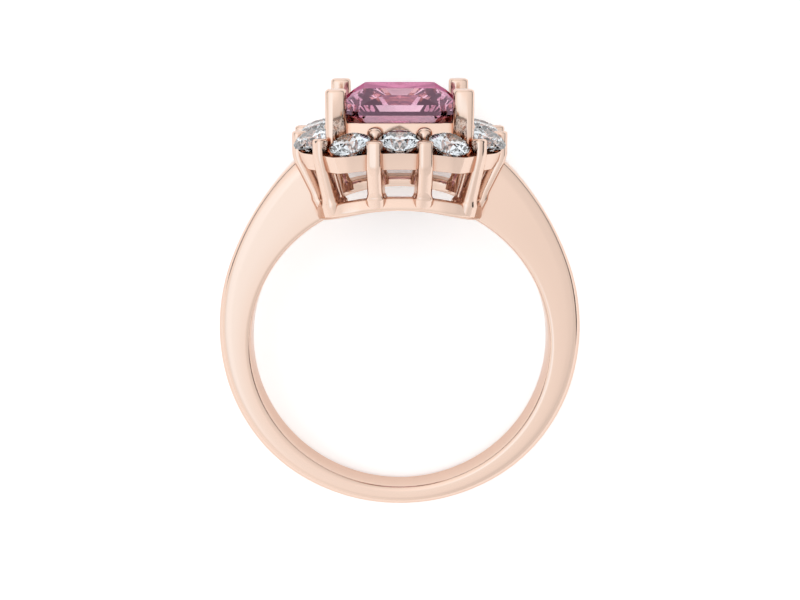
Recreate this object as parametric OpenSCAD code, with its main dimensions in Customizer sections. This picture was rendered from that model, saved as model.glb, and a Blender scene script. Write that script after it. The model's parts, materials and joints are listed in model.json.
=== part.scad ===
// Halo ring, lying on its side: a square centre stone in four claws, a halo of
// twelve round stones, an open gallery and a shank that thickens at the shoulders.
// Each piece is drawn standing up, finger hole along Y and head towards +Z, and
// is then laid down about the centre of the finger hole, which is the origin.

/* [Finger hole] */
// Diameter of the finger hole
finger_d = 17; // [14:0.5:21]

/* [Shank] */
// Thickness at the back of the finger
back_t = 1.25; // [1:0.05:2.2]
// Thickness at the shoulders, where the shank meets the head
shoulder_t = 3.7; // [2.8:0.1:4.2]
// Width at the back of the finger
back_w = 1.9; // [1.4:0.1:3]
// Width at the shoulders
shoulder_w = 2.9; // [2:0.1:3.6]
// Size of the rounded edge inside the finger hole
comfort_r = 0.25; // [0.1:0.05:0.45]

/* [Centre stone] */
// Width of the square stone
stone_w = 6.4; // [5.4:0.1:7.6]
// Cut taken off each corner, along the side
stone_corner = 1; // [0.6:0.1:1.6]
// Width of the flat table on top
table_w = 3.9; // [2.8:0.1:4.4]
// Height of the crown, from the girdle to the table
crown_h = 1.12; // [0.7:0.05:1.5]
// Thickness of the girdle
girdle_t = 0.22; // [0.1:0.02:0.4]
// Depth of the pavilion below the girdle
pavilion_h = 2.6; // [2:0.1:3]
// Height of the girdle's underside above the top of the finger hole
stone_rise = 4.9; // [4.5:0.1:6]

/* [Halo stones] */
// Diameter of each round stone
halo_d = 2.25; // [1.8:0.05:2.6]
// Gap in plan between the centre stone and the round stones
halo_gap = 0.33; // [0.2:0.05:0.8]
// Extra room across each corner of the halo
halo_corner_gap = 0.25; // [0:0.05:0.6]
// Height of the middle stones of each side above the top of the finger hole
halo_rise = 3.78; // [3.4:0.02:4.2]
// How much lower the end stones of each side sit
halo_drop = 0.17; // [0:0.01:0.4]
// Outward tilt of the round stones, in degrees
halo_tilt = 18; // [8:1:30]
// Roll of the end stones towards their corner, in degrees
halo_roll = 14; // [0:1:20]

/* [Claws and prongs] */
// Diameter of the four centre claws
claw_d = 1.13; // [0.8:0.05:1.4]
// How far the claw centres stand outside the stone's sides
claw_set = 0.18; // [0.1:0.02:0.4]
// Height of the claw tips above the underside of the centre stone's girdle
claw_h = 1.42; // [1:0.02:2]
// Diameter of the outer prongs near their tips
prong_d = 0.84; // [0.6:0.02:1]
// Diameter of the outer prongs near their feet
prong_foot_d = 0.73; // [0.5:0.02:0.9]
// How far the outer prongs stand outside the halo's centre line
prong_out = 0.81; // [0.6:0.02:1.1]
// Height of the outer prong tips above the middle halo stones
prong_tip = 0.07; // [0:0.01:0.5]
// Height of the bend in the outer prongs above the base rail
prong_bend = 2.1; // [1.6:0.1:2.5]
// Diameter of the corner prongs near their tips
corner_d = 0.75; // [0.5:0.02:0.9]
// How far the corner prongs stand outside the two corner stones
corner_out = 0.78; // [0.6:0.02:1]
// Height of the bend in the corner prongs above the base rail
corner_bend = 2.6; // [2:0.1:3]
// How much lower the corner prong tips are than the outer prong tips
corner_lower = 0.06; // [0:0.02:0.3]
// Extra depth of the prongs below the collar, towards the middle of the head
prong_deep = 0.4; // [0.1:0.05:0.6]
// Bevel round the tip of each claw and prong
tip_bevel = 0.12; // [0.05:0.01:0.2]
// Diameter of the beads on the inner side of the halo
bead_d = 0.84; // [0.5:0.02:0.9]
// Height of the rounded top of each bead
bead_dome = 0.3; // [0.1:0.05:0.4]
// How far the bead centres are outside the halo's inner edge
bead_in = 0.18; // [0:0.02:0.4]
// Height of the bead tips above the middle halo stones
bead_tip = 0.57; // [0.4:0.01:0.9]

/* [Rails] */
// Thickness of the base rail's round wire
rail_d = 0.8; // [0.6:0.05:1]
// How far the base rail sits inside the halo's centre line
rail_in = 0.55; // [0.3:0.05:0.9]
// Corner radius of the base rail
rail_corner = 2; // [1:0.1:2.6]
// Height of the base rail's middle above the top of the finger hole
rail_rise = 0.29; // [0.25:0.01:0.6]
// How much lower the base rail runs at its sides
rail_fall = 0.74; // [0.4:0.02:0.8]
// Width of the round stones' edge that stands past the collar
collar_lip = 0.32; // [0.15:0.01:0.4]
// Depth of the collar's underside below the round stones' girdles
collar_drop = 1.48; // [1.2:0.02:1.6]
// How far the collar's inner face is inside the round stones' edge
collar_inner = 0.08; // [0.02:0.02:0.2]
// Slope of the collar's outer face, from top to bottom
collar_taper = 0.28; // [0.1:0.02:0.4]
// Depth of the basket's top edge below the centre stone's girdle
basket_drop = 0.4; // [0.3:0.05:0.7]
// Height of the basket's wall
basket_h = 1; // [0.7:0.05:1.2]
// Thickness of the basket's wall
basket_wall = 0.65; // [0.4:0.05:0.9]
// Diameter of the light hole drilled below each round stone
light_hole_d = 0.7; // [0.5:0.05:1.1]
// Clearance between each stone and its seat
seat_gap = 0.04; // [0.02:0.01:0.1]

/* [Hidden] */
SIDES = 4;
PER_SIDE = 3;

gold = [0.88, 0.68, 0.56];
pink = [0.76, 0.46, 0.6];
clear = [0.86, 0.88, 0.9];

finger_r = finger_d / 2;
past = 0.1;

// Plan of the head. The halo's centre line is a rounded square, and its corner
// radius leaves the two stones beside each corner the same gap as the others.
halo_r = halo_d / 2;
reach = stone_w / 2 + halo_gap + halo_r;
pitch = (reach - halo_corner_gap / sqrt(2)) / (1 + 1 / sqrt(2));
halo_corner = reach - pitch;
claw_at = stone_w / 2 + claw_set;
rail_half = reach - rail_in;
rail_turn = min(rail_corner, rail_half - pitch / 2);

// Heights above the centre of the finger hole.
rail_top_z = finger_r + rail_rise;
rail_side_z = rail_top_z - rail_fall;
halo_z = finger_r + halo_rise;
girdle_z = finger_r + stone_rise;
bend_z = rail_top_z + prong_bend;
corner_bend_z = rail_top_z + corner_bend;

// Height of the base rail's centre at a distance x from the middle.
RAIL_CURVE = 2.5;
function rail_z(x) = rail_top_z - rail_fall * pow(min(abs(x) / rail_half, 1), RAIL_CURVE);

// Height of the halo's centre line at a distance s along a side. It falls away
// from the middle of the side and levels out past the end stones.
HALO_LEVEL_FROM = 1.25;
function halo_line_z(s) = halo_z - halo_drop * pow(min(abs(s) / pitch, HALO_LEVEL_FROM), 2);

// The ring lies on the bends of its back prongs and on the edge of the shank.
touch_out = reach + prong_out + prong_d / 2;
shank_mid = 0.45;
lie_angle = atan((touch_out - back_w / 2) / (bend_z + finger_r + back_t * shank_mid));

// Shank sections from the back of the finger to the shoulder. AT is the share of
// the way round, THICK the share from back_t to shoulder_t, WIDE the share from
// back_w to shoulder_w, and CRISP the share from a soft to a sharp outer edge.
AT = 0;
THICK = 1;
WIDE = 2;
CRISP = 3;
SECTIONS = [
    [0, 0, 0, 0],
    [0.15, 0.03, 0.06, 0],
    [0.3, 0.095, 0.17, 0.02],
    [0.45, 0.15, 0.33, 0.05],
    [0.59, 0.22, 0.48, 0.11],
    [0.72, 0.345, 0.64, 0.25],
    [0.82, 0.49, 0.78, 0.5],
    [0.9, 0.68, 0.9, 0.8],
    [1, 1, 1, 1]
];
SOFT_EDGE = 2.3;
SHARP_EDGE = 16;

// Smooth curve through the rows of SECTIONS, level at the back of the finger.
function row_slope(col, i) =
    i == 0 ? 0 :
    i == len(SECTIONS) - 1
        ? (SECTIONS[i][col] - SECTIONS[i - 1][col]) / (SECTIONS[i][AT] - SECTIONS[i - 1][AT])
        : (SECTIONS[i + 1][col] - SECTIONS[i - 1][col]) / (SECTIONS[i + 1][AT] - SECTIONS[i - 1][AT]);
function row_below(at, i = 0) =
    i >= len(SECTIONS) - 2 || SECTIONS[i + 1][AT] > at ? i : row_below(at, i + 1);
function share(col, at) =
    let (
        i = row_below(at),
        step = SECTIONS[i + 1][AT] - SECTIONS[i][AT],
        t = (at - SECTIONS[i][AT]) / step
    )
    SECTIONS[i][col] * (2 * pow(t, 3) - 3 * pow(t, 2) + 1)
    + SECTIONS[i + 1][col] * (3 * pow(t, 2) - 2 * pow(t, 3))
    + row_slope(col, i) * step * (pow(t, 3) - 2 * pow(t, 2) + t)
    + row_slope(col, i + 1) * step * (pow(t, 3) - pow(t, 2));
function blend(a, b, t) = a + (b - a) * t;

// A solid through rings of points that all have the same number of points.
// A closed sweep joins its last ring to its first, an open one has flat ends.
module sweep(rings, closed = false) {
    n = len(rings[0]);
    m = len(rings);
    spans = closed ? m : m - 1;
    sides = [
        for (j = [0:spans - 1], i = [0:n - 1])
            let (a = j * n, b = ((j + 1) % m) * n, k = (i + 1) % n)
            each [[a + i, b + i, b + k], [a + i, b + k, a + k]]
    ];
    ends = closed ? [] : [
        [for (i = [0:n - 1]) i],
        [for (i = [n - 1:-1:0]) (m - 1) * n + i]
    ];
    polyhedron(points = [for (r = rings) each r], faces = concat(sides, ends), convexity = 6);
}

// A convex cut stone from its corner points.
module cut_stone(corners) {
    hull() polyhedron(points = corners, faces = [[for (i = [0:len(corners) - 1]) i]]);
}

// The shank runs from one side of the base rail round the finger to the other.
SHANK_STEP = 5;
shank_end = 180 - atan(rail_half / rail_side_z);

// Outline of the shank at a share of the way round: [across, from the axis].
// The inner side lies just inside the finger hole, which is cut afterwards.
function shank_outline(at) =
    let (
        thick = blend(back_t, shoulder_t, share(THICK, at)),
        half = blend(back_w, shoulder_w, share(WIDE, at)) / 2,
        edge = blend(SOFT_EDGE, SHARP_EDGE, share(CRISP, at)),
        mid = finger_r + thick * shank_mid,
        rise = thick * (1 - shank_mid),
        sunk = comfort_r + past
    )
    concat(
        [for (a = [0:12:180])
            let (c = cos(a), s = sin(a))
            [half * sign(c) * pow(abs(c), 2 / edge), mid + rise * pow(s, 2 / edge)]],
        [for (a = [180:30:270])
            [-half + comfort_r + comfort_r * cos(a), finger_r + comfort_r + sunk * sin(a)]],
        [for (a = [270:30:360])
            [half - comfort_r + comfort_r * cos(a), finger_r + comfort_r + sunk * sin(a)]]
    );

module shank() {
    steps = ceil(shank_end / SHANK_STEP);
    sweep([
        for (k = [-steps:steps])
            let (a = shank_end * k / steps)
            [for (p = shank_outline(abs(k) / steps)) [p[1] * sin(a), -p[0], -p[1] * cos(a)]]
    ]);
}

// Points round a rounded square, from the middle of one side: [x, y, heading].
// Each side gives its straight steps, and each corner its steps of the turn.
function loop_side(half, turn, straight, round_steps) = concat(
    [for (k = [0:straight - 1]) [blend(-(half - turn), half - turn, k / straight), -half, 0]],
    [for (k = [0:round_steps - 1])
        let (a = 90 * k / round_steps)
        [half - turn + turn * sin(a), -(half - turn) - turn * cos(a), a]]
);
function loop_path(half, turn, straight, round_steps) = [
    for (side = [0:SIDES - 1], p = loop_side(half, turn, straight, round_steps))
        let (c = cos(90 * side), s = sin(90 * side))
        [p[0] * c - p[1] * s, p[0] * s + p[1] * c, p[2] + 90 * side]
];

// Round wire that arches over the finger and carries every prong and the shank.
RAIL_SIDES = 12;
module base_rail() {
    sweep([
        for (p = loop_path(rail_half, rail_turn, straight = 8, round_steps = 6))
            [for (i = [0:RAIL_SIDES - 1])
                let (
                    a = 360 * i / RAIL_SIDES,
                    out = rail_d / 2 * cos(a),
                    up = -rail_d / 2 * sin(a)
                )
                [p[0] + out * sin(p[2]), p[1] - out * cos(p[2]), rail_z(p[0]) + up]]
    ], closed = true);
}

// Distance along its own side of a point on the halo's centre line.
function along(p) = min(abs(p[0]), abs(p[1]));

// Share of the way into a corner: 0 beside the last stone, 1 on the diagonal.
function into_corner(p) = pow(sin(2 * (p[2] % 90)), 2);

// Band that the round stones are set into. Its outer face slopes in downwards,
// its top follows the tilt of the stones, and it draws in between corner stones.
collar_edge = halo_r - collar_lip;
collar_draw = 0.5;
module collar() {
    inner = halo_r - collar_inner;
    top_out = -collar_edge * tan(halo_tilt) - collar_lip;
    top_in = inner * tan(halo_tilt) - collar_lip;
    sweep([
        for (p = loop_path(reach, halo_corner, straight = 12, round_steps = 8))
            let (
                z = halo_line_z(along(p)),
                edge = collar_edge - collar_draw * into_corner(p),
                section = [
                    [edge, top_out],
                    [edge - collar_taper, -collar_drop],
                    [-inner, -collar_drop],
                    [-inner, top_in]
                ]
            )
            [for (q = section) [p[0] + q[0] * sin(p[2]), p[1] - q[0] * cos(p[2]), z + q[1]]]
    ], closed = true);
}

// Square wall under the centre stone, joined to the four claws.
module basket() {
    half = stone_w / 2 - seat_gap;
    translate([0, 0, girdle_z - basket_drop - basket_h])
        linear_extrude(basket_h)
            difference() {
                square(2 * half, center = true);
                square(2 * (half - basket_wall), center = true);
            }
}

// One claw of the centre stone: a straight round post with a bevelled tip.
module claw() {
    foot = halo_z - collar_drop + past;
    tall = girdle_z + claw_h - foot;
    translate([claw_at, claw_at, foot]) {
        cylinder(h = tall - tip_bevel, d = claw_d, $fn = 48);
        translate([0, 0, tall - tip_bevel])
            cylinder(h = tip_bevel, d1 = claw_d, d2 = claw_d - 2 * tip_bevel, $fn = 48);
    }
}

// A prong that stands on the base rail, leans out to its bend and then goes
// straight up. Below the bend it is stretched towards the middle of the head.
PRONG_SIDES = 12;
PRONG_FLARE = 1.25;
PRONG_NECK = 0.35;
FOOT_SPREAD = 0.96;
module prong(foot, bend, tip_z, foot_w, tip_w) {
    far = norm([bend[0], bend[1]]);
    inward = [-bend[0] / far, -bend[1] / far];
    flare_z = foot[2] + rail_d / 2;
    neck_z = flare_z + PRONG_NECK;
    level = [
        [foot[2] - past, foot_w],
        [flare_z, foot_w * PRONG_FLARE],
        [neck_z, foot_w],
        [bend[2], tip_w],
        [bend[2] + past, tip_w],
        [tip_z - tip_bevel, tip_w],
        [tip_z, tip_w - 2 * tip_bevel]
    ];
    sweep([
        for (v = level)
            let (
                t = min((v[0] - foot[2]) / (bend[2] - foot[2]), 1),
                x = blend(foot[0], bend[0], t),
                y = blend(foot[1], bend[1], t),
                stretch = v[0] > bend[2] ? 0 : prong_deep
            )
            [for (i = [0:PRONG_SIDES - 1])
                let (
                    a = 360 * i / PRONG_SIDES,
                    c = [cos(a), sin(a)],
                    pull = max(c * inward, 0) * stretch
                )
                [x + v[1] / 2 * c[0] + inward[0] * pull,
                 y + v[1] / 2 * c[1] + inward[1] * pull,
                 v[0]]]
    ]);
}

// The prong at the right of the middle stone of one side.
module side_prong(left, turned) {
    x = pitch / 2 * (left ? -1 : 1);
    foot_z = turned ? rail_side_z : rail_z(x);
    prong(
        [x * FOOT_SPREAD, -rail_half, foot_z],
        [x, -(reach + prong_out), bend_z],
        halo_z + prong_tip, prong_foot_d, prong_d
    );
}

// The prong that holds the two stones beside a corner.
module corner_prong() {
    foot = rail_half - rail_turn * (1 - 1 / sqrt(2));
    at = (pitch + reach) / 2 + corner_out / sqrt(2);
    prong(
        [foot, -foot, rail_z(foot)],
        [at, -at, corner_bend_z],
        halo_z + prong_tip - corner_lower, prong_foot_d, corner_d
    );
}

// Round-topped bead between two stones, on the inner side of the halo.
module bead(left) {
    foot = halo_z - collar_drop / 2;
    shoulder = halo_z + bead_tip - bead_dome - foot;
    dome = [for (a = [0:15:90]) [bead_d / 2 * cos(a), shoulder + bead_dome * sin(a)]];
    translate([pitch / 2 * (left ? -1 : 1), -(reach - halo_r + bead_in), foot])
        rotate_extrude($fn = 24)
            polygon(concat([[0, 0], [bead_d / 2, 0]], dome));
}

// Proportions of a round brilliant, as shares of its radius.
TABLE_SHARE = 0.56;
STAR_SHARE = 0.78;
LOWER_SHARE = 0.26;
CROWN_SHARE = 0.28;
GIRDLE_SHARE = 0.07;
PAVILION_SHARE = 0.85;
function halo_level(share_of_r) = halo_r * share_of_r;
crown_slope = CROWN_SHARE / (1 - TABLE_SHARE);
pavilion_slope = PAVILION_SHARE;
star_z = CROWN_SHARE - crown_slope * (STAR_SHARE * cos(22.5) - TABLE_SHARE);
lower_z = -GIRDLE_SHARE - pavilion_slope * (1 - LOWER_SHARE * cos(22.5));

// Corner points of a round brilliant with its girdle's top at the origin.
function ring_of(count, r, z, start = 0) = [
    for (i = [0:count - 1])
        let (a = start + 360 * i / count)
        [halo_level(r) * cos(a), halo_level(r) * sin(a), halo_level(z)]
];
brilliant = concat(
    ring_of(8, TABLE_SHARE, CROWN_SHARE),
    ring_of(8, STAR_SHARE, star_z, 22.5),
    ring_of(16, 1, 0),
    ring_of(16, 1, -GIRDLE_SHARE),
    ring_of(8, LOWER_SHARE, lower_z, 22.5),
    [[0, 0, -halo_level(GIRDLE_SHARE + PAVILION_SHARE)]]
);

// Seat of one round stone: its own round outline with clearance all round, and
// the light hole below it.
module halo_seat() {
    r = halo_r + seat_gap;
    hole = light_hole_d / 2;
    under = -halo_level(GIRDLE_SHARE) - seat_gap;
    rotate_extrude($fn = 48)
        polygon([
            [0, -collar_drop - halo_r],
            [hole, -collar_drop - halo_r],
            [hole, under - (r - hole) * pavilion_slope],
            [r, under],
            [r, seat_gap],
            [halo_level(TABLE_SHARE) + seat_gap, halo_level(CROWN_SHARE) + seat_gap],
            [halo_level(TABLE_SHARE) + seat_gap, halo_level(CROWN_SHARE) + halo_r],
            [0, halo_level(CROWN_SHARE) + halo_r]
        ]);
}

// Moves a stone or its seat to place number i, counted round from one corner.
module at_halo(i) {
    k = i % PER_SIDE - 1;
    rotate([0, 0, 90 * floor(i / PER_SIDE)])
        translate([k * pitch, -reach, halo_line_z(k * pitch)])
            rotate([halo_tilt, 0, 0])
                rotate([0, k * halo_roll, 0])
                    children();
}

// Eight corners of a square with cut corners, at one height.
function cut_square(half, cut, z) = [
    for (side = [0:SIDES - 1], p = [[half - cut, -half], [half, -(half - cut)]])
        let (c = cos(90 * side), s = sin(90 * side))
        [p[0] * c - p[1] * s, p[0] * s + p[1] * c, z]
];

// One point at the same place on each side, at one height.
function four(x, y, z) = [
    for (side = [0:SIDES - 1])
        let (c = cos(90 * side), s = sin(90 * side))
        [x * c - y * s, x * s + y * c, z]
];

// Proportions of the centre stone. The step between girdle and table is a share
// of the half width, the corner cut and the crown. Each crown and pavilion row holds
// how far out and how far along it lies, as shares of the half width, and its share
// of the crown's height or of the pavilion's depth.
TABLE_CORNER = 0.15;
STEP_OUT = 0.953;
STEP_CORNER = 0.98;
STEP_UP = 0.29;
CROWN_ROWS = [
    [0.8, 0.3, 0.72],
    [0.8, -0.3, 0.72],
    [0.7, 0.7, 0.7]
];
PAVILION_ROWS = [
    [0.79, 0.3, 0.25],
    [0.79, -0.3, 0.25],
    [0.615, 0.615, 0.285],
    [0.42, 0, 0.655],
    [0.32, 0.32, 0.69]
];

// The centre stone's corner points, grown by a clearance for its seat.
function radiant(grow = 0) =
    let (
        half = stone_w / 2 + grow,
        table = table_w / 2 + grow,
        deep = pavilion_h + grow
    )
    concat(
        cut_square(table, stone_corner * TABLE_CORNER, crown_h + girdle_t + grow),
        [for (row = CROWN_ROWS)
            each four(half * row[0], half * row[1], crown_h * row[2] + girdle_t + grow)],
        cut_square(half * STEP_OUT, stone_corner * STEP_CORNER, crown_h * STEP_UP + girdle_t + grow),
        cut_square(half, stone_corner, girdle_t + grow),
        cut_square(half, stone_corner, -grow),
        [for (row = PAVILION_ROWS)
            each four(half * row[0], half * row[1], -deep * row[2])],
        [[0, 0, -deep]]
    );

module centre_stone() {
    color(pink)
        lying()
            translate([0, 0, girdle_z])
                cut_stone(radiant());
}

module halo_stone(i) {
    color(clear)
        lying()
            at_halo(i)
                cut_stone(brilliant);
}

// All of the soldered metal, with the finger hole and the seats cut from it.
module ring_mount() {
    color(gold)
        lying()
            difference() {
                union() {
                    shank();
                    base_rail();
                    collar();
                    basket();
                    for (side = [0:SIDES - 1])
                        rotate([0, 0, 90 * side]) {
                            claw();
                            corner_prong();
                            for (left = [false, true]) {
                                side_prong(left, side % 2 == 1);
                                bead(left);
                            }
                        }
                }
                rotate([90, 0, 0])
                    cylinder(h = SIDES * reach, r = finger_r, center = true, $fn = 128);
                translate([0, 0, girdle_z]) cut_stone(radiant(seat_gap));
                for (i = [0:SIDES * PER_SIDE - 1]) at_halo(i) halo_seat();
            }
}

// Lays the standing ring on its side, head along +Y, without moving the origin.
module lying() {
    rotate([lie_angle - 90, 0, 0]) children();
}

ring_mount();
centre_stone();
for (i = [0:SIDES * PER_SIDE - 1])
    halo_stone(i);
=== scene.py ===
"""Halo ring: its looks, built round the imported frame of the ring.

Every length in a section is in millimetres with the ring standing up: the finger hole's
axis is Y, its centre is the origin and the head is at the top, along +Z.
"""

import json
import math

import bmesh
import bpy
import numpy as np
from mathutils import Matrix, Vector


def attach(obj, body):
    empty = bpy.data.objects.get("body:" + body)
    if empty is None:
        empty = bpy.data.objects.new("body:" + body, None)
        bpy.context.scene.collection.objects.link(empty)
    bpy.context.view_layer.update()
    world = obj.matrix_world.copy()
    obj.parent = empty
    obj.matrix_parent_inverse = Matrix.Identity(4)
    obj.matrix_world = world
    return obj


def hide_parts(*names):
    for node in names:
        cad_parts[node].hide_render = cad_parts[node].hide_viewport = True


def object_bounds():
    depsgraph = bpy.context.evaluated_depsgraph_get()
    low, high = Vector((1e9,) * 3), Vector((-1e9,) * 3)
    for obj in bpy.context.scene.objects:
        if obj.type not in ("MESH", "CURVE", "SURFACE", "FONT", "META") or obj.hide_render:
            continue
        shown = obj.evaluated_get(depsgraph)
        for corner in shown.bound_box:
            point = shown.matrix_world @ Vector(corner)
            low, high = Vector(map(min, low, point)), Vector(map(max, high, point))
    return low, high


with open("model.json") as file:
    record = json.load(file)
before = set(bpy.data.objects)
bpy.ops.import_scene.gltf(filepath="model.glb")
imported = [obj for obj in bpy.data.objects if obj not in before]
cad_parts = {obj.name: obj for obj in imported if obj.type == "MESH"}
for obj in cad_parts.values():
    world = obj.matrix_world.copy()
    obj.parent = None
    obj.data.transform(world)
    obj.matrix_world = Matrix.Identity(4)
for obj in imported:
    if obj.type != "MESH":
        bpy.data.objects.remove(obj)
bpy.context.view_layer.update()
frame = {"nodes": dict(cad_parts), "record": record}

# The shank
# One band of 14 carat rose gold that goes round the finger. It is cast, filed and polished:
# thin, soft and rounded at the back of the finger, thick with flat sides and crisp edges
# at the shoulders, where it is soldered to both ends of the base rail.
finger_hole = next(m for m in frame["record"]["mounts"] if m["name"] == "finger_hole")
FINGER_R = finger_hole["dims"]["r_mm"]
LIE_ANGLE = math.atan2(-finger_hole["axis"][1], finger_hole["axis"][2])

# Lays a standing piece on its side, and turns its millimetres into the frame's metres.
LYING = Matrix.Rotation(LIE_ANGLE - math.pi / 2, 4, "X") @ Matrix.Scale(0.001, 4)

# Thickness and width at the back of the finger and at the shoulders.
BACK_T = 1.25
SHOULDER_T = 3.7
BACK_W = 1.9
SHOULDER_W = 2.9

# Rounding of the edges next to the finger, the share of the thickness at which the band is
# widest, and the turn from the back of the finger to each soldered end.
COMFORT_R = 0.3
SHANK_MID = 0.45
SHANK_END = math.radians(152.98)

# The outer edge's power, from an oval at the back to nearly square at the shoulders.
SOFT_EDGE = 2.3
SHARP_EDGE = 11

# A narrow strip filed along the outer edges of the shoulders, and how far it leans in.
STRIP_H = 0.62
STRIP_LEAN = math.tan(math.radians(13))

# Shares from the back of the finger to the shoulder: how far round, how much of the way
# from the back's thickness and width to the shoulder's, and how sharp the outer edge is.
ROUND = [0, 0.15, 0.3, 0.45, 0.59, 0.72, 0.82, 0.9, 1]
THICK = [0, 0.03, 0.095, 0.15, 0.22, 0.345, 0.49, 0.68, 1]
WIDE = [0, 0.06, 0.17, 0.33, 0.48, 0.64, 0.78, 0.9, 1]
CRISP = [0, 0, 0.02, 0.05, 0.11, 0.25, 0.5, 0.8, 1]

# Rings along the band, and degrees between two points of a ring, outside and by the finger.
SHANK_RINGS = 241
OUTER_STEP = 3
COMFORT_STEP = 10


def smooth_share(shares, at):
    """Value at a share of the way round, on a smooth curve that starts level at the back."""
    slopes = np.gradient(np.array(shares), np.array(ROUND))
    slopes[0] = 0
    i = min(np.searchsorted(ROUND, at, side="right") - 1, len(ROUND) - 2)
    step = ROUND[i + 1] - ROUND[i]
    t = (at - ROUND[i]) / step
    return (
        shares[i] * (2 * t**3 - 3 * t**2 + 1)
        + shares[i + 1] * (3 * t**2 - 2 * t**3)
        + slopes[i] * step * (t**3 - 2 * t**2 + t)
        + slopes[i + 1] * step * (t**3 - t**2)
    )


def blend(a, b, t):
    """A value the share t of the way from a to b."""
    return a + (b - a) * t


def shank_outline(at):
    """Outline of the band at a share of the way round: across, and out from the axis."""
    thick = blend(BACK_T, SHOULDER_T, smooth_share(THICK, at))
    half = blend(BACK_W, SHOULDER_W, smooth_share(WIDE, at)) / 2
    power = 2 / blend(SOFT_EDGE, SHARP_EDGE, smooth_share(CRISP, at))
    lean = STRIP_LEAN * smooth_share(CRISP, at)
    mid = FINGER_R + thick * SHANK_MID
    rise = thick * (1 - SHANK_MID)
    outline = []
    for a in np.radians(np.arange(0, 181, OUTER_STEP)):
        up = rise * max(math.sin(a), 0) ** power
        across = abs(math.cos(a)) ** power
        strip = lean * max(up - rise + STRIP_H, 0) * across
        outline.append((math.copysign(half * across - strip, math.cos(a)), mid + up))
    for side, start in ((-1, 180), (1, 270)):
        for a in np.radians(np.arange(start, start + 91, COMFORT_STEP)):
            across = side * (half - COMFORT_R) + COMFORT_R * math.cos(a)
            outline.append((across, FINGER_R + COMFORT_R * (1 + math.sin(a))))
    return outline


def sweep(name, rings, closed=False):
    """A closed mesh through rings of points that all have the same number of points."""
    n, m = len(rings[0]), len(rings)
    spans = m if closed else m - 1
    faces = [
        (j * n + i, j * n + (i + 1) % n, (j + 1) % m * n + (i + 1) % n, (j + 1) % m * n + i)
        for j in range(spans)
        for i in range(n)
    ]
    if not closed:
        faces += [tuple(range(n))[::-1], tuple(range((m - 1) * n, m * n))]
    mesh = bpy.data.meshes.new(name)
    mesh.from_pydata([tuple(p) for ring in rings for p in ring], [], faces)
    mesh.validate()
    piece = bpy.data.objects.new(name, mesh)
    bpy.context.scene.collection.objects.link(piece)
    return piece


# Points of a standing piece that are closer than this are one point.
ONE_POINT = 1e-5


def face_outwards(piece):
    """Merges the doubled points of a closed mesh and turns its faces outwards."""
    bm = bmesh.new()
    bm.from_mesh(piece.data)
    bmesh.ops.remove_doubles(bm, verts=bm.verts, dist=ONE_POINT)
    bmesh.ops.recalc_face_normals(bm, faces=bm.faces)
    bm.to_mesh(piece.data)
    bm.free()


def linear(hex_colour):
    """An sRGB hex value as linear red, green, blue and alpha."""
    parts = [int(hex_colour[i : i + 2], 16) / 255 for i in (1, 3, 5)]
    return [c / 12.92 if c <= 0.04045 else ((c + 0.055) / 1.055) ** 2.4 for c in parts] + [1.0]


def add(tree, kind, feeds=None, **settings):
    """Adds a node with its settings, which name its properties or its input sockets.

    Feeds give input sockets a value, another node's socket or another node's first output.
    """
    node = tree.nodes.new(kind)
    for key, value in settings.items():
        if hasattr(node, key):
            setattr(node, key, value)
        else:
            node.inputs[key.replace("_", " ")].default_value = value
    for key, source in (feeds or {}).items():
        if isinstance(source, bpy.types.Node):
            source = source.outputs[0]
        if isinstance(source, bpy.types.NodeSocket):
            tree.links.new(source, node.inputs[key])
        else:
            node.inputs[key].default_value = source
    return node


# Cast rose gold, polished on a felt wheel: a clear mirror that takes a faint haze from the
# wheel's marks. Deep copper is painted where other metal lies close, as painted shade and a
# painted reflection of the metal in itself in its corners. The marks are drawn far coarser
# than they are, or they wouldn't show at all.
WHEEL_MARK_MM = 0.6
CORNER_SHADE_MM = 0.4


def rose_gold():
    """Polished rose gold for every piece of the mount."""
    material = bpy.data.materials.new("polished_rose_gold")
    material.use_nodes = True
    tree = material.node_tree
    tree.nodes.clear()
    wheel_marks = add(
        tree,
        "ShaderNodeTexNoise",
        {"Vector": add(tree, "ShaderNodeTexCoord").outputs["Object"]},
        Scale=1000 / WHEEL_MARK_MM,
        Detail=3.0,
        Roughness=0.6,
    )
    haze = add(tree, "ShaderNodeMapRange", {"Value": wheel_marks}, To_Min=0.09, To_Max=0.15)
    polish = add(tree, "ShaderNodeBump", {"Height": wheel_marks}, Strength=0.02, Distance=2e-5)
    # Painted shade: the gold turns deep copper by how closely other metal lies, which stands in for
    # shade and the metal's own reflection in corners.
    corner_shade_mask = add(tree, "ShaderNodeAmbientOcclusion", samples=8, Distance=CORNER_SHADE_MM / 1000)
    painted_corner_shade = add(tree, "ShaderNodeValToRGB", {"Fac": corner_shade_mask.outputs["AO"]})
    painted_copper_shade, open_gold = painted_corner_shade.color_ramp.elements
    painted_copper_shade.position = 0.25
    painted_copper_shade.color = linear("#C98158")
    open_gold.position = 0.8
    open_gold.color = linear("#DFC4B4")
    surface = add(
        tree,
        "ShaderNodeBsdfPrincipled",
        {"Base Color": painted_corner_shade, "Roughness": haze, "Normal": polish},
        Metallic=1.0,
        Specular_Tint=linear("#F0E2DA"),
    )
    add(tree, "ShaderNodeOutputMaterial", {"Surface": surface})
    return material


gold = rose_gold()

# Faces that meet at a larger angle than this have a crisp edge between them.
CREASE = math.radians(32)


def finish_metal(piece):
    """Lays a metal piece down with the ring, and joins it to the frame."""
    piece.data.transform(LYING)
    piece.data.shade_smooth()
    piece.data.set_sharp_from_angle(angle=CREASE)
    piece.data.materials.clear()
    piece.data.materials.append(gold)
    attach(piece, "root")
    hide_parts("ring_mount")


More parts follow.
